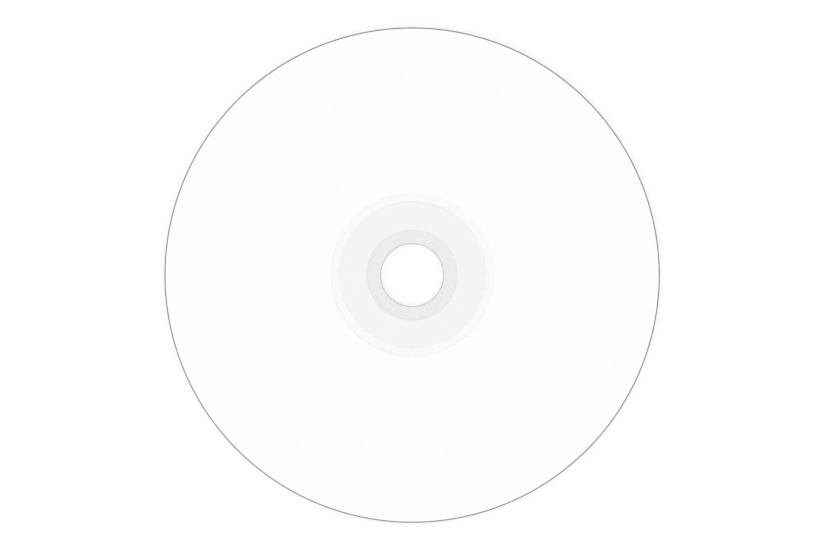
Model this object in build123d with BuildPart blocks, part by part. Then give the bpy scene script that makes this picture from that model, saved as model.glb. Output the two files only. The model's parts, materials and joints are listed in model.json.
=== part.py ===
from build123d import *
import os

# A compact disc, 12 cm across, with a blank white label that reaches in to the hub.
#
# It lies label side up on the stacking ring of its read side. The origin is on the axis of
# the hole, at the level of the surface that the disc lies on, with +Z out of the label side.
# All sizes are in millimetres.
#
# The clear disc is one polycarbonate moulding. Its label side carries three coats, from the
# bottom up: the metal film that reflects the laser, the lacquer that seals the film's two
# edges, and the white label. Each coat follows the surface under it.

# Clear moulding
disc_diameter = 120.0
disc_thickness = 1.2
hole_diameter = 15.0
rim_round = 0.22
hole_chamfer = 0.2

# Shallow step round the hole on both sides, where the mould's gate bush met the plastic
bush_mark_width = 3.4
bush_mark_depth = 0.05

# Stacking ring: the ridge that keeps the read side off whatever the disc lies on
stacking_ring_diameter = 34.4
stacking_ring_crest_width = 0.7
stacking_ring_height = 0.25
stacking_ring_flank_width = 0.25

# Holder groove: the mark that the stamper's clamp leaves in the label side
groove_inner_diameter = 35.6
groove_floor_width = 1.6
groove_depth = 0.1
groove_flank_width = 0.1

# Coats
metal_thickness = 0.01
lacquer_thickness = 0.015
label_thickness = 0.03
metal_from_groove = 0.35
metal_from_lacquer_edge = 0.55
lacquer_from_groove_flank = 0.05
lacquer_from_rim_round = 0.03
label_from_bush_mark = 0.1
label_from_lacquer_edge = 0.05

# Levels, counted up from the surface that the disc lies on
read_face = stacking_ring_height
label_face = read_face + disc_thickness
groove_floor = label_face - groove_depth
metal_top = label_face + metal_thickness
lacquer_top = metal_top + lacquer_thickness

# Radii of the moulding, from the hole outwards
hole_radius = hole_diameter / 2
bush_mark_radius = hole_radius + bush_mark_width
crest_inner_radius = stacking_ring_diameter / 2 - stacking_ring_crest_width / 2
crest_outer_radius = stacking_ring_diameter / 2 + stacking_ring_crest_width / 2
groove_inner_radius = groove_inner_diameter / 2
floor_inner_radius = groove_inner_radius + groove_flank_width
floor_outer_radius = floor_inner_radius + groove_floor_width
groove_outer_radius = floor_outer_radius + groove_flank_width
rim_radius = disc_diameter / 2

# Radii of the coats
label_inner_radius = bush_mark_radius + label_from_bush_mark
lacquer_inner_radius = floor_inner_radius + lacquer_from_groove_flank
lacquer_outer_radius = rim_radius - rim_round - lacquer_from_rim_round
label_outer_radius = lacquer_outer_radius - label_from_lacquer_edge
metal_inner_radius = groove_outer_radius + metal_from_groove
metal_outer_radius = lacquer_outer_radius - metal_from_lacquer_edge


# The moulding: a plain disc with a hole, then the marks and the ring that the mould gives it
with BuildPart() as clear_disc:
    with BuildSketch(Plane.XY.offset(read_face)):
        Circle(rim_radius)
        Circle(hole_radius, mode=Mode.SUBTRACT)
    extrude(amount=disc_thickness)

    # Both bush marks: a ring cut out of the label side and one out of the read side
    for mark_floor in (label_face - bush_mark_depth, read_face):
        with BuildSketch(Plane.XY.offset(mark_floor)):
            Circle(bush_mark_radius)
        extrude(amount=bush_mark_depth, mode=Mode.SUBTRACT)

    # Of all the circles, the hole's two edges are the smallest and the rim's two the largest
    circles = clear_disc.edges().filter_by(GeomType.CIRCLE).group_by(SortBy.RADIUS)
    chamfer(circles[0], length=hole_chamfer)
    fillet(circles[-1], radius=rim_round)

    # Holder groove in the label side, with sloping flanks
    with BuildSketch(Plane.XZ):
        with BuildLine():
            Polyline(
                (groove_inner_radius, label_face),
                (floor_inner_radius, groove_floor),
                (floor_outer_radius, groove_floor),
                (groove_outer_radius, label_face),
                close=True,
            )
        make_face()
    revolve(axis=Axis.Z, mode=Mode.SUBTRACT)

    # Stacking ring under the read side, flat along its crest, with sloping flanks
    with BuildSketch(Plane.XZ):
        with BuildLine():
            Polyline(
                (crest_inner_radius - stacking_ring_flank_width, read_face),
                (crest_inner_radius, 0),
                (crest_outer_radius, 0),
                (crest_outer_radius + stacking_ring_flank_width, read_face),
                close=True,
            )
        make_face()
    revolve(axis=Axis.Z)
clear_disc.part.label = "clear_disc"


# The metal film: a flat ring from just outside the holder groove to just short of the rim
with BuildPart() as mirror_film:
    with BuildSketch(Plane.XY.offset(label_face)):
        Circle(metal_outer_radius)
        Circle(metal_inner_radius, mode=Mode.SUBTRACT)
    extrude(amount=metal_thickness)
mirror_film.part.label = "mirror_film"


# The top of the lacquer from its inner edge, on the groove's floor, out to its outer edge
lacquer_surface = [
    (lacquer_inner_radius, groove_floor + lacquer_thickness),
    (floor_outer_radius, groove_floor + lacquer_thickness),
    (groove_outer_radius, lacquer_top),
    (lacquer_outer_radius, lacquer_top),
]

# The lacquer: it climbs out of the groove, covers the film and comes down past its outer edge
with BuildPart() as lacquer_coat:
    with BuildSketch(Plane.XZ):
        with BuildLine():
            Polyline(
                (lacquer_inner_radius, groove_floor),
                (floor_outer_radius, groove_floor),
                (groove_outer_radius, label_face),
                (metal_inner_radius, label_face),
                (metal_inner_radius, metal_top),
                (metal_outer_radius, metal_top),
                (metal_outer_radius, label_face),
                (lacquer_outer_radius, label_face),
                *reversed(lacquer_surface),
                close=True,
            )
        make_face()
    revolve(axis=Axis.Z)
lacquer_coat.part.label = "lacquer_coat"


# The white label: on bare plastic round the hub, down into the groove, then over the lacquer
with BuildPart() as white_label:
    with BuildSketch(Plane.XZ):
        with BuildLine():
            Polyline(
                (label_inner_radius, label_face),
                (groove_inner_radius, label_face),
                (floor_inner_radius, groove_floor),
                (lacquer_inner_radius, groove_floor),
                *lacquer_surface[:-1],
                (label_outer_radius, lacquer_top),
                (label_outer_radius, lacquer_top + label_thickness),
                (groove_outer_radius, lacquer_top + label_thickness),
                (floor_outer_radius, groove_floor + lacquer_thickness + label_thickness),
                (floor_inner_radius, groove_floor + label_thickness),
                (groove_inner_radius, label_face + label_thickness),
                (label_inner_radius, label_face + label_thickness),
                close=True,
            )
        make_face()
    revolve(axis=Axis.Z)
white_label.part.label = "white_label"


os.makedirs("parts", exist_ok=True)
for piece in (clear_disc, mirror_film, lacquer_coat, white_label):
    export_step(piece.part, f"parts/{piece.part.label}.step")
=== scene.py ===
"""Looks of a 12 cm optical disc: a clear moulding, its metal film, its lacquer and its white label.

Every piece is a section turned about the hole's axis, and its sizes are read from the frame.
All lengths are in metres.
"""

import json
import math

import bpy
import numpy as np
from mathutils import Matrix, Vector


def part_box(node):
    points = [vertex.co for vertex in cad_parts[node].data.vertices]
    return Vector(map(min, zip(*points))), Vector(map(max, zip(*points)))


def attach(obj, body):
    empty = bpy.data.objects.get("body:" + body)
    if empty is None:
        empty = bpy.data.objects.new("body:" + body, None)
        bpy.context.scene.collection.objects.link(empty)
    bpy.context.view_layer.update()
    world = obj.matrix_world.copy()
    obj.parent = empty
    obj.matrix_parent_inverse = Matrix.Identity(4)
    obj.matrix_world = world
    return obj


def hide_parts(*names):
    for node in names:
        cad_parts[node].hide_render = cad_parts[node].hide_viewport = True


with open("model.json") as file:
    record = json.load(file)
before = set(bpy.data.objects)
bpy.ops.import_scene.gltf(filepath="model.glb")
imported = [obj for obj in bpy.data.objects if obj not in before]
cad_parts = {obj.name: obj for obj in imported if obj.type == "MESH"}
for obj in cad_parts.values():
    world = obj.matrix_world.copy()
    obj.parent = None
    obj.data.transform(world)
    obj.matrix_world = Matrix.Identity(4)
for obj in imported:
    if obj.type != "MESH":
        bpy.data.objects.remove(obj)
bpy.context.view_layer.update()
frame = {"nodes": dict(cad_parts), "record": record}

METRE = 1.0
MILLIMETRE = 0.001
MICRON = 0.000001

# Turned surfaces, and the map that the export bakes their finish into
STEPS_ROUND_THE_DISC = 512
STEPS_ROUND_A_CORNER = 6
CORNER_SHARE = 0.45
BAKE_MAP = "OFBake"

# How far a coat reaches into what is under it, so that no two faces share a place
COAT_SINK = 2 * MICRON

# Roundings that the mould and the drying coats leave, and how far the print runs at the groove's corners
MOULDED_CORNER = 0.05 * MILLIMETRE
FILM_EDGE = 0.003 * MILLIMETRE
PRINT_EDGE = 0.012 * MILLIMETRE
PRINT_LEVELLING = 0.12 * MILLIMETRE
PRINT_SPREAD = 0.04 * MILLIMETRE

# Photo frame and camera
FRAME_WIDTH_PX = 825
FRAME_HEIGHT_PX = 550
RIM_RADIUS_PX = 247.78
DISC_CENTRE_PX = (412.1, 275.1)
SENSOR_WIDTH = 36.0
LENS = 100.0

# Light: a dome, brighter overhead, and a soft lamp from one side, which light a level surface by 1 in all.
# Light that grows with the height to a power p, up to 1 overhead, lights it by 2 / (p + 2).
LAMP_LIGHT = 0.12
LAMP_WIDTH = math.radians(40)
LAMP_TILT = (math.radians(30), math.radians(-25))
DOME_EDGE = 0.4
DOME_POWER = 4
DOME_TOP = DOME_EDGE + (1 - LAMP_LIGHT - DOME_EDGE) * (DOME_POWER + 2) / 2
FLOOR_TONE = 0.25
FLOOR_HALF_WIDTH = 6 * METRE
WHITE = (1, 1, 1, 1)

# Tones of the label, by what lies behind it
PRINT_ON_METAL = (0.979, 0.979, 0.981)
PRINT_ON_LACQUER = (0.945, 0.945, 0.952)
PRINT_ON_PLASTIC = (0.904, 0.904, 0.91)
TONE_BLEED = 0.2 * MILLIMETRE

# Clear plastic, the haze on its rim and in its hole with painted shade on the rim's rounding and at the
# hole's mouth, and the faint flecks of haze all over it
PLASTIC_TINT = (0.94, 0.94, 0.953)
PLASTIC_INDEX = 1.585
FACE_ROUGHNESS = 0.015
HUB_DULLNESS = 0.03
FLOW_SIZE = 6 * MILLIMETRE
FLOW_ROUGHNESS = 0.008
HAZE_FADE = 0.04 * MILLIMETRE
HAZE_ROUGHNESS = 0.35
RIM_HAZE = 0.85
WALL_HAZE = 0.55
# Painted shade: the rim's rounding gets a near-black haze colour for the dark line that refraction draws
# along the clear edge.
RIM_EDGE_PAINTED_SHADE = (0.08, 0.08, 0.082)
RIM_WALL_TONE = (0.9, 0.9, 0.91)
HOLE_HAZE = 0.6
# Painted shade: the hole's mouth gets a dark haze colour for the dark ring that refraction draws at the
# chamfer.
HOLE_MOUTH_PAINTED_SHADE = (0.4, 0.4, 0.41)
HOLE_WALL_TONE = (0.8, 0.8, 0.81)
HAZE_FLECKS = 0.02
FLECK_SIZE = 0.8 * MILLIMETRE
FLECK_DETAIL = 4

# Metal film: the grooved band, and the painted rainbow colours that stand in for the light its grooves
# spread
METAL_TONE = (0.9, 0.9, 0.91)
GROOVES_FROM = 22.4 * MILLIMETRE
GROOVES_TO = 58.4 * MILLIMETRE
BAND_BLEED = 0.08 * MILLIMETRE
MIRROR_ROUGHNESS = 0.03
GROOVE_ROUGHNESS = 0.14
GROOVE_STREAK = 0.75
OUTWARD_STREAK = 0.25
RAINBOW_ORDERS = 0.35
RAINBOW_SLANT = 1.1
# Painted reflection: rainbow tints fixed in the metal's colour, for the diffraction colours that its grooves
# show under light.
PAINTED_RAINBOW_STOPS = [
    (0.0, (0.88, 0.88, 0.9)),
    (0.2, (0.6, 0.55, 0.9)),
    (0.36, (0.5, 0.74, 0.95)),
    (0.52, (0.55, 0.9, 0.68)),
    (0.68, (0.94, 0.9, 0.55)),
    (0.84, (0.95, 0.62, 0.52)),
    (1.0, (0.88, 0.86, 0.86)),
]

# Each spoke of painted rainbow colour: its direction, its half width, its strength and its shift along the
# rainbow
PAINTED_RAINBOW_SPOKES = [
    (math.radians(62), math.radians(40), 0.6, 0.1),
    (math.radians(2), math.radians(26), 0.4, 0.45),
    (math.radians(122), math.radians(22), 0.35, 0.7),
]

# Lacquer
LACQUER_TINT = (0.97, 0.97, 0.97)
LACQUER_INDEX = 1.5
LACQUER_ROUGHNESS = 0.1
LACQUER_WAVES = 0.03

# White print: a fine grain, and broad clouds where it is a little thinner
PRINT_ROUGHNESS = 0.6
PRINT_GRAIN = 0.5 * MILLIMETRE
PRINT_GRAIN_DETAIL = 3
PRINT_GRAIN_HEIGHT = 20 * MICRON
PRINT_GRAIN_ROUGHNESS = 0.05
PRINT_CLOUDS = 9 * MILLIMETRE
PRINT_CLOUD_DETAIL = 1
PRINT_CLOUD_HEIGHT = 25 * MICRON
PRINT_CLOUD_ROUGHNESS = 0.04
PRINT_THINNING = 0.04
PRINT_GRAIN_THINNING = 0.5


def mesh_points(node):
    """Corners of a CAD node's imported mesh, one row each."""
    mesh = frame["nodes"][node].data
    flat = np.empty(len(mesh.vertices) * 3, np.float32)
    mesh.vertices.foreach_get("co", flat)
    return flat.reshape(-1, 3).astype(float)


def circles_at(node, height):
    """Radii of a CAD node's circles at one height, from the axis outwards."""
    points = mesh_points(node)
    level = points[np.abs(points[:, 2] - height) < MICRON]
    return np.unique(np.round(np.hypot(level[:, 0], level[:, 1]) / MICRON)) * MICRON


def levels_at(node, radius):
    """Heights of a CAD node's circles of one radius, from the lowest up."""
    points = mesh_points(node)
    level = points[np.abs(np.hypot(points[:, 0], points[:, 1]) - radius) < MICRON]
    return np.unique(np.round(level[:, 2] / MICRON)) * MICRON


def mount(name):
    """One of the record's mounts."""
    return next(m for m in frame["record"]["mounts"] if m["name"] == name)


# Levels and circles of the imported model
crest_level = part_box("clear_disc")[0].z
read_face = mount("clamp_face_read_side")["pos_m"][2]
label_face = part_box("mirror_film")[0].z
groove_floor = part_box("lacquer_coat")[0].z
lacquer_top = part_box("lacquer_coat")[1].z
print_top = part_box("white_label")[1].z
crest_inner, crest_outer = circles_at("clear_disc", crest_level)
mark_radius, root_inner, root_outer, flat_outer = circles_at("clear_disc", read_face)
groove_inner, groove_outer = circles_at("clear_disc", label_face)[1:3]
floor_inner, floor_outer = circles_at("clear_disc", groove_floor)
rim_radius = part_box("clear_disc")[1].x
rim_round = rim_radius - flat_outer
read_mark, label_mark = levels_at("clear_disc", mark_radius)[1:3]
hole_radius = mount("spindle_bore")["dims"]["r_mm"] * MILLIMETRE
hole_low, hole_high = levels_at("clear_disc", hole_radius)
mouth_radius = circles_at("clear_disc", read_mark)[0]
metal_inner, metal_outer = circles_at("mirror_film", label_face)
metal_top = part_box("mirror_film")[1].z
lacquer_inner = circles_at("lacquer_coat", groove_floor)[0]
lacquer_outer = circles_at("lacquer_coat", lacquer_top)[-1]
print_inner = circles_at("white_label", label_face)[0]
print_outer = circles_at("white_label", print_top)[-1]
print_thickness = mount("clamp_face_label_side")["pos_m"][2] - label_face
lacquer_thickness = lacquer_top - metal_top


def rounded_section(corners):
    """Closed outline with each corner rounded, and the outward direction at each of its points.

    A corner is (r, z, round), and they go anticlockwise with r to the right. The arc at a corner
    touches both sides at round times the tangent of half the turn from the corner, and at most
    CORNER_SHARE of the shorter side. Its points turn evenly from one side's normal to the other's.
    """
    corners = np.array(corners, float)
    side = np.roll(corners[:, :2], -1, axis=0) - corners[:, :2]
    length = np.hypot(side[:, 0], side[:, 1])
    heading = np.arctan2(side[:, 1], side[:, 0])
    arriving = np.roll(heading, 1)
    turn = (heading - arriving + math.pi) % (2 * math.pi) - math.pi
    slope = np.tan(np.abs(turn) / 2)
    shortest = np.minimum(length, np.roll(length, 1))
    radius = np.minimum(corners[:, 2] * slope, CORNER_SHARE * shortest) / slope * np.sign(turn)
    share = np.linspace(0, 1, STEPS_ROUND_A_CORNER + 1)
    facing = (arriving - math.pi / 2)[:, None] + turn[:, None] * share
    outward = np.stack([np.cos(facing), np.sin(facing)], axis=-1)
    middle = (outward[:, 0] + outward[:, -1]) / (1 + np.cos(turn))[:, None]
    centre = corners[:, :2] - radius[:, None] * middle
    outline = centre[:, None] + radius[:, None, None] * outward
    return outline.reshape(-1, 2), outward.reshape(-1, 2)


def round_the_axis(pairs):
    """Each pair (r, z) as its circle (r cos a, r sin a, z): a row of points for each pair."""
    angle = np.linspace(0, 2 * math.pi, STEPS_ROUND_THE_DISC, endpoint=False)
    across = pairs[:, None, :1] * np.stack([np.cos(angle), np.sin(angle)], axis=-1)
    up = np.broadcast_to(pairs[:, None, 1:], (*across.shape[:2], 1))
    return np.concatenate([across, up], axis=-1)


def turned(name, corners, finish, as_strip=False):
    """Surface of revolution: a rounded section and its normals, taken round the axis. Its faces join
    each point to the next along the section and the next round the axis. As a strip, it also gets its
    own map for the export."""
    outline, outward = rounded_section(corners)
    points = round_the_axis(outline)
    normals = round_the_axis(outward)
    here = np.arange(points[..., 0].size).reshape(points.shape[:2])
    across = np.roll(here, -1, axis=0)
    faces = np.stack([here, np.roll(here, -1, axis=1), np.roll(across, -1, axis=1), across], axis=-1)
    mesh = bpy.data.meshes.new(name)
    mesh.from_pydata(points.reshape(-1, 3), [], faces.reshape(-1, 4))
    mesh.shade_smooth()
    if as_strip:
        lay_out_strip(mesh, outline)
    mesh.normals_split_custom_set_from_vertices(normals.reshape(-1, 3))
    mesh.materials.append(finish)
    piece = bpy.data.objects.new(name, mesh)
    bpy.context.scene.collection.objects.link(piece)
    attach(piece, "root")
    return piece


def lay_out_strip(mesh, outline):
    """Map for the export's bake: u goes once round the axis, and v goes along the section, where each
    side takes a share by the root of its length, so that the narrow roundings get room too."""
    side = np.roll(outline, -1, axis=0) - outline
    v = np.append(0, np.cumsum(np.sqrt(np.hypot(side[:, 0], side[:, 1]))))
    v = v / v[-1]
    u = np.linspace(0, 1, STEPS_ROUND_THE_DISC + 1)
    u_of_face = np.stack([u[:-1], u[1:], u[1:], u[:-1]], axis=-1)[None]
    v_of_face = np.stack([v[:-1], v[:-1], v[1:], v[1:]], axis=-1)[:, None]
    places = np.stack(np.broadcast_arrays(u_of_face, v_of_face), axis=-1)
    mesh.uv_layers.new(name=BAKE_MAP).uv.foreach_set("vector", places.astype(np.float32).ravel())


class Wire:
    """A socket that other nodes can take. Arithmetic on wires and numbers adds Math nodes."""

    def __init__(self, tree, socket):
        self.tree = tree
        self.socket = socket

    def math(self, operation, *others):
        inputs = dict(enumerate([self, *others]))
        return self.tree.node("ShaderNodeMath", {"operation": operation}, inputs)

    def __add__(self, other):
        return self.math("ADD", other)

    def __sub__(self, other):
        return self.math("SUBTRACT", other)

    def __rsub__(self, other):
        return self.tree.node("ShaderNodeMath", {"operation": "SUBTRACT"}, {0: other, 1: self})

    def __mul__(self, other):
        return self.math("MULTIPLY", other)

    __radd__ = __add__
    __rmul__ = __mul__


# Noise: its usual detail, and how much it is widened
NOISE_DETAIL = 2
NOISE_SPREAD = 3

# Places of a Mix node's sockets for colours
MIX_SHARE = 0
MIX_FIRST = 6
MIX_SECOND = 7
MIX_RESULT = 2


class Tree:
    """A shader tree that starts empty. node() adds any node to it."""

    def __init__(self, owner):
        owner.use_nodes = True
        self.tree = owner.node_tree
        self.tree.nodes.clear()

    def node(self, kind, settings=None, inputs=None, output=0):
        """Adds a node: first its settings, then a value or a wire for each input. Gives one output."""
        made = self.tree.nodes.new(kind)
        for name, value in (settings or {}).items():
            if name == "stops":
                self.set_stops(made.color_ramp, value)
            else:
                setattr(made, name, value)
        for name, value in (inputs or {}).items():
            if isinstance(value, Wire):
                self.tree.links.new(value.socket, made.inputs[name])
            else:
                made.inputs[name].default_value = value
        return Wire(self, made.outputs[output]) if made.outputs else made

    def set_stops(self, ramp, stops):
        """Gives a colour ramp its stops, each a place and a colour. It starts with those at 0 and 1."""
        for where, _ in stops[1:-1]:
            ramp.elements.new(where)
        for element, (_, colour) in zip(ramp.elements, stops):
            element.color = (*colour, 1)

    def place(self):
        """Position on the object, in metres."""
        return self.node("ShaderNodeTexCoord", output="Object")

    def way_out(self):
        """The way from the hole's axis straight out to the position, in metres."""
        return self.node("ShaderNodeVectorMath", {"operation": "MULTIPLY"}, {0: self.place(), 1: (1, 1, 0)})

    def radius(self):
        """Distance from the hole's axis, in metres."""
        return self.node("ShaderNodeVectorMath", {"operation": "LENGTH"}, {0: self.way_out()}, "Value")

    def ramp(self, value, low, high):
        """0 below low, 1 above high, and a smooth rise between them."""
        settings = {"interpolation_type": "SMOOTHSTEP"}
        return self.node("ShaderNodeMapRange", settings, {"Value": value, "From Min": low, "From Max": high})

    def mix(self, share, first, second):
        """first where share is 0 and second where it is 1. Both are colours."""
        first, second = (colour if isinstance(colour, Wire) else (*colour, 1) for colour in (first, second))
        inputs = {MIX_SHARE: share, MIX_FIRST: first, MIX_SECOND: second}
        return self.node("ShaderNodeMix", {"data_type": "RGBA"}, inputs, MIX_RESULT)

    def grain(self, size, detail=NOISE_DETAIL):
        """Noise from about -0.5 to 0.5, with lumps of one size in metres. NOISE_SPREAD widens it, because
        a noise node keeps to the middle third of its range."""
        inputs = {"Vector": self.place(), "Scale": 1 / size, "Detail": detail}
        noise = self.node("ShaderNodeTexNoise", {"noise_dimensions": "3D"}, inputs)
        return (noise - 0.5) * NOISE_SPREAD

    def along(self, angle):
        """Cosine of the angle between the way out and a direction across the disc."""
        way = self.node("ShaderNodeVectorMath", {"operation": "NORMALIZE"}, {0: self.way_out()})
        spoke = (math.cos(angle), math.sin(angle), 0)
        return self.node("ShaderNodeVectorMath", {"operation": "DOT_PRODUCT"}, {0: way, 1: spoke}, "Value")

    def relief(self, height):
        """The normal of a surface raised by a height in metres."""
        return self.node("ShaderNodeBump", inputs={"Height": height, "Distance": METRE})

    def principled(self, **sockets):
        """A Principled shader. A socket is named with underscores for its spaces."""
        inputs = {name.replace("_", " "): value for name, value in sockets.items()}
        return self.node("ShaderNodeBsdfPrincipled", inputs=inputs)

    def surface(self, shader):
        """Makes a shader the one that is seen."""
        self.node("ShaderNodeOutputMaterial", inputs={"Surface": shader})


def clear_polycarbonate():
    """Clear moulded plastic. Polished faces, a slightly duller punched hub, and a haze on the rim and
    in the hole, where the mould's parts met. The haze is pale on their walls, and thinner on the rim's
    wall, where some of the plastic's depth shows through. On the rim's rounding and at the hole's mouth
    its colour is dark: painted shade, for the dark lines that refraction draws there in clear plastic.
    Faint flecks of it lie all over."""
    material = bpy.data.materials.new("clear_polycarbonate")
    tree = Tree(material)
    radius = tree.radius()
    hub = 1 - tree.ramp(radius, mark_radius - MOULDED_CORNER, mark_radius + MOULDED_CORNER)
    clear = tree.principled(
        Base_Color=(*PLASTIC_TINT, 1),
        Roughness=hub * HUB_DULLNESS + tree.grain(FLOW_SIZE) * FLOW_ROUGHNESS + FACE_ROUGHNESS,
        IOR=PLASTIC_INDEX,
        Transmission_Weight=1.0,
    )
    rim = tree.ramp(radius, flat_outer - HAZE_FADE, flat_outer + HAZE_FADE)
    wall = tree.ramp(radius, rim_radius - HAZE_FADE, rim_radius)
    hole = 1 - tree.ramp(radius, mouth_radius, mouth_radius + 2 * HAZE_FADE)
    mouth = tree.ramp(radius, hole_radius, mouth_radius)
    # Painted shade: the haze colour is dark on the rim's rounding and at the hole's mouth, and pale on their
    # walls.
    rim_haze_and_painted_shade = tree.mix(wall, RIM_EDGE_PAINTED_SHADE, RIM_WALL_TONE)
    hole_haze_and_painted_shade = tree.mix(mouth, HOLE_WALL_TONE, HOLE_MOUTH_PAINTED_SHADE)
    haze_and_painted_shade = tree.principled(
        Base_Color=tree.mix(hole, rim_haze_and_painted_shade, hole_haze_and_painted_shade),
        Roughness=HAZE_ROUGHNESS,
        IOR=PLASTIC_INDEX,
    )
    flecks = tree.grain(FLECK_SIZE, FLECK_DETAIL).math("MAXIMUM", 0.0) * HAZE_FLECKS
    share = rim * RIM_HAZE + wall * (WALL_HAZE - RIM_HAZE) + hole * HOLE_HAZE + flecks
    tree.surface(tree.node("ShaderNodeMixShader", inputs={0: share, 1: clear, 2: haze_and_painted_shade}))
    return material


def evaporated_metal():
    """Bright film over the moulded grooves. The grooved band carries painted rainbow colours along spokes,
    fixed on the film, for the colours its grooves spread light into. Each runs through about a third of the
    rainbow from the hub to the rim, and through most of it from side to side. The bands inside and outside
    the grooves are plain mirrors."""
    material = bpy.data.materials.new("evaporated_metal")
    tree = Tree(material)
    radius = tree.radius()
    grooved = tree.ramp(radius, GROOVES_FROM - BAND_BLEED, GROOVES_FROM + BAND_BLEED) * (
        1 - tree.ramp(radius, GROOVES_TO - BAND_BLEED, GROOVES_TO + BAND_BLEED)
    )
    outwards = (radius - GROOVES_FROM) * (RAINBOW_ORDERS / (GROOVES_TO - GROOVES_FROM))
    colour = METAL_TONE
    # Painted reflection: each spoke mixes fixed rainbow tints into the metal's colour.
    for angle, half_width, strength, shift in PAINTED_RAINBOW_SPOKES:
        spoke = tree.along(angle)
        slant = spoke * tree.along(angle + math.pi / 2) * RAINBOW_SLANT
        order = (outwards + slant + shift).math("FRACT")
        painted_rainbow = tree.node("ShaderNodeValToRGB", {"stops": PAINTED_RAINBOW_STOPS}, {"Fac": order})
        share = tree.ramp(spoke.math("ABSOLUTE"), math.cos(half_width), 1.0) * grooved * strength
        colour = tree.mix(share, colour, painted_rainbow)
    tree.surface(
        tree.principled(
            Base_Color=colour,
            Metallic=1.0,
            Roughness=grooved * GROOVE_ROUGHNESS + MIRROR_ROUGHNESS,
            Anisotropic=GROOVE_STREAK,
            Anisotropic_Rotation=OUTWARD_STREAK,
        )
    )
    return material


def clear_lacquer():
    """Cured clear lacquer, with the faint waves that spinning the disc leaves in it."""
    material = bpy.data.materials.new("clear_lacquer")
    tree = Tree(material)
    tree.surface(
        tree.principled(
            Base_Color=(*LACQUER_TINT, 1),
            Roughness=tree.grain(FLOW_SIZE) * LACQUER_WAVES + LACQUER_ROUGHNESS,
            IOR=LACQUER_INDEX,
            Transmission_Weight=1.0,
        )
    )
    return material


def printable_white():
    """Matte white coat with a fine grain, whose tone shows what lies behind it."""
    material = bpy.data.materials.new("printable_white")
    tree = Tree(material)
    radius = tree.radius()
    past_lacquer = tree.ramp(radius, groove_inner - TONE_BLEED, lacquer_inner)
    past_metal = tree.ramp(radius, metal_inner - TONE_BLEED, metal_inner + TONE_BLEED)
    tone = tree.mix(past_metal, tree.mix(past_lacquer, PRINT_ON_PLASTIC, PRINT_ON_LACQUER), PRINT_ON_METAL)
    fine = tree.grain(PRINT_GRAIN, PRINT_GRAIN_DETAIL)
    broad = tree.grain(PRINT_CLOUDS, PRINT_CLOUD_DETAIL)
    thin = (fine * PRINT_GRAIN_THINNING + broad).math("MAXIMUM", 0.0) * PRINT_THINNING
    tree.surface(
        tree.principled(
            Base_Color=tree.mix(thin, tone, PRINT_ON_PLASTIC),
            Roughness=fine * PRINT_GRAIN_ROUGHNESS + broad * PRINT_CLOUD_ROUGHNESS + PRINT_ROUGHNESS,
            Normal=tree.relief(fine * PRINT_GRAIN_HEIGHT + broad * PRINT_CLOUD_HEIGHT),
        )
    )
    return material


def clear_disc():
    """The moulding: a flat ring with a rounded rim, a chamfered hole, two bush marks, the holder
    groove on the label side and the stacking ring on the read side."""
    corners = [
        (crest_inner, crest_level, MOULDED_CORNER),
        (crest_outer, crest_level, MOULDED_CORNER),
        (root_outer, read_face, MOULDED_CORNER),
        (rim_radius, read_face, rim_round),
        (rim_radius, label_face, rim_round),
        (groove_outer, label_face, MOULDED_CORNER),
        (floor_outer, groove_floor, MOULDED_CORNER),
        (floor_inner, groove_floor, MOULDED_CORNER),
        (groove_inner, label_face, MOULDED_CORNER),
        (mark_radius, label_face, MOULDED_CORNER),
        (mark_radius, label_mark, MOULDED_CORNER),
        (mouth_radius, label_mark, MOULDED_CORNER),
        (hole_radius, hole_high, MOULDED_CORNER),
        (hole_radius, hole_low, MOULDED_CORNER),
        (mouth_radius, read_mark, MOULDED_CORNER),
        (mark_radius, read_mark, MOULDED_CORNER),
        (mark_radius, read_face, MOULDED_CORNER),
        (root_inner, read_face, MOULDED_CORNER),
    ]
    return turned("polycarbonate_disc", corners, clear_polycarbonate(), as_strip=True)


def mirror_film():
    """The metal film, a flat ring that starts outside the groove and stops short of the rim."""
    corners = [
        (metal_inner, label_face - COAT_SINK, FILM_EDGE),
        (metal_outer, label_face - COAT_SINK, FILM_EDGE),
        (metal_outer, metal_top, FILM_EDGE),
        (metal_inner, metal_top, FILM_EDGE),
    ]
    return turned("metal_film", corners, evaporated_metal(), as_strip=True)


def lacquer_coat():
    """The lacquer, from the groove's floor up, over the metal and down past its outer edge."""
    lift = lacquer_thickness
    corners = [
        (lacquer_inner, groove_floor - COAT_SINK, FILM_EDGE),
        (floor_outer, groove_floor - COAT_SINK, MOULDED_CORNER),
        (groove_outer, label_face - COAT_SINK, MOULDED_CORNER),
        (metal_inner + COAT_SINK, label_face - COAT_SINK, FILM_EDGE),
        (metal_inner + COAT_SINK, metal_top - COAT_SINK, FILM_EDGE),
        (metal_outer - COAT_SINK, metal_top - COAT_SINK, FILM_EDGE),
        (metal_outer - COAT_SINK, label_face - COAT_SINK, FILM_EDGE),
        (lacquer_outer, label_face - COAT_SINK, FILM_EDGE),
        (lacquer_outer, lacquer_top, PRINT_EDGE),
        (groove_outer, lacquer_top, PRINT_LEVELLING),
        (floor_outer, groove_floor + lift, PRINT_LEVELLING),
        (lacquer_inner, groove_floor + lift, PRINT_EDGE),
    ]
    return turned("lacquer_ring", corners, clear_lacquer())


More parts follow.
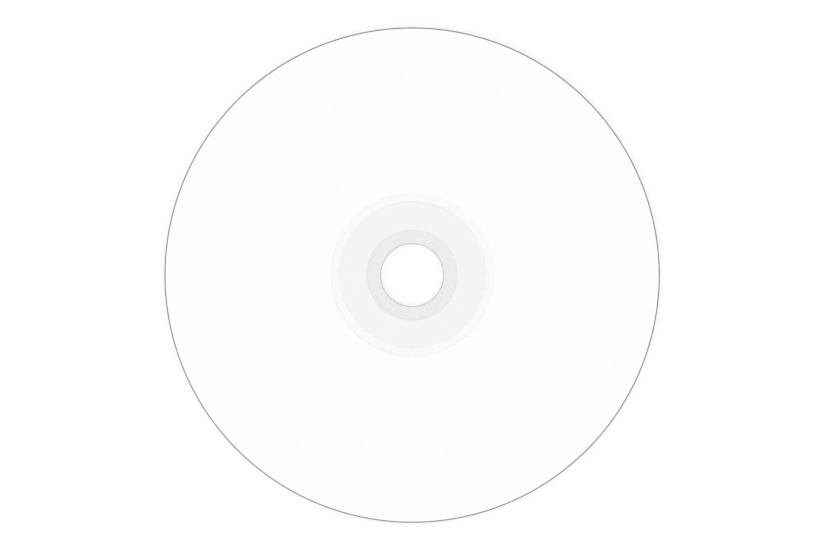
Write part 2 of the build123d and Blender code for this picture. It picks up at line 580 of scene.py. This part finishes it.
def white_label():
    """The white print: on the plastic round the hub, down into the groove, then over the lacquer. Where it
    crosses the groove's flanks it has levelled out by PRINT_SPREAD at either end."""
    under = lacquer_thickness - COAT_SINK
    corners = [
        (print_inner, label_face - COAT_SINK, FILM_EDGE),
        (groove_inner, label_face - COAT_SINK, MOULDED_CORNER),
        (floor_inner, groove_floor - COAT_SINK, MOULDED_CORNER),
        (lacquer_inner, groove_floor - COAT_SINK, FILM_EDGE),
        (lacquer_inner, groove_floor + under, FILM_EDGE),
        (floor_outer, groove_floor + under, MOULDED_CORNER),
        (groove_outer, lacquer_top - COAT_SINK, MOULDED_CORNER),
        (print_outer, lacquer_top - COAT_SINK, FILM_EDGE),
        (print_outer, print_top, PRINT_EDGE),
        (groove_outer + PRINT_SPREAD, print_top, PRINT_LEVELLING),
        (floor_outer - PRINT_SPREAD, groove_floor + lacquer_thickness + print_thickness, PRINT_LEVELLING),
        (floor_inner + PRINT_SPREAD, groove_floor + print_thickness, PRINT_LEVELLING),
        (groove_inner - PRINT_SPREAD, label_face + print_thickness, PRINT_LEVELLING),
        (print_inner, label_face + print_thickness, PRINT_EDGE),
    ]
    return turned("white_print", corners, printable_white())


def seen_directly(tree):
    """1 for the camera and for what a polished or clear surface shows, and 0 for the light on the object."""
    rays = ("Is Camera Ray", "Is Glossy Ray", "Is Transmission Ray")
    return sum(tree.node("ShaderNodeLightPath", output=ray) for ray in rays).math("MINIMUM", 1.0)


def white_floor():
    """A pale floor under the disc, lifted to white where it is seen, which keeps the disc's shadow."""
    half = FLOOR_HALF_WIDTH
    corners = [(-half, -half, 0), (half, -half, 0), (half, half, 0), (-half, half, 0)]
    mesh = bpy.data.meshes.new("floor")
    mesh.from_pydata(corners, [], [(0, 1, 2, 3)])
    material = bpy.data.materials.new("pale_floor")
    tree = Tree(material)
    tree.surface(
        tree.principled(
            Base_Color=(FLOOR_TONE, FLOOR_TONE, FLOOR_TONE, 1),
            Roughness=1.0,
            Specular_IOR_Level=0.0,
            Emission_Color=WHITE,
            Emission_Strength=seen_directly(tree) * (1 - FLOOR_TONE),
        )
    )
    mesh.materials.append(material)
    floor = bpy.data.objects.new("floor", mesh)
    bpy.context.scene.collection.objects.link(floor)


def studio_light():
    """A dome that is seen as white and lights the disc most from above, and a soft lamp to one side."""
    world = bpy.data.worlds.new("white_dome")
    bpy.context.scene.world = world
    tree = Tree(world)
    way = tree.node("ShaderNodeTexCoord", output="Generated")
    up = tree.node("ShaderNodeSeparateXYZ", inputs={0: way}, output="Z").math("MAXIMUM", 0.0)
    light = up.math("POWER", DOME_POWER) * (DOME_TOP - DOME_EDGE) + DOME_EDGE
    seen = seen_directly(tree)
    strength = seen + (1 - seen) * light
    dome = tree.node("ShaderNodeBackground", inputs={"Color": WHITE, "Strength": strength})
    tree.node("ShaderNodeOutputWorld", inputs={"Surface": dome})

    lamp = bpy.data.lights.new("soft_lamp", "SUN")
    lamp.energy = LAMP_LIGHT * math.pi / (math.cos(LAMP_TILT[0]) * math.cos(LAMP_TILT[1]))
    lamp.angle = LAMP_WIDTH
    softbox = bpy.data.objects.new("soft_lamp", lamp)
    softbox.rotation_euler = (*LAMP_TILT, 0)
    bpy.context.scene.collection.objects.link(softbox)


def camera_above():
    """A long lens straight above the disc, at the height where the rim has its size in the photo."""
    pixel = rim_radius / RIM_RADIUS_PX
    camera = bpy.data.cameras.new("camera")
    camera.sensor_width = SENSOR_WIDTH
    camera.lens = LENS
    view = bpy.data.objects.new("camera", camera)
    view.location = (
        (FRAME_WIDTH_PX / 2 - DISC_CENTRE_PX[0]) * pixel,
        (DISC_CENTRE_PX[1] - FRAME_HEIGHT_PX / 2) * pixel,
        label_face + FRAME_WIDTH_PX * pixel * LENS / SENSOR_WIDTH,
    )
    bpy.context.scene.collection.objects.link(view)
    bpy.context.scene.camera = view


for make, node, slot in (
    (clear_disc, "clear_disc", "clear_plastic"),
    (mirror_film, "mirror_film", "metal_film"),
    (lacquer_coat, "lacquer_coat", "lacquer"),
    (white_label, "white_label", "label_ink"),
):
    piece = make()
    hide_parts(node)

white_floor()
studio_light()
camera_above()
bpy.context.scene.view_settings.view_transform = "Standard"
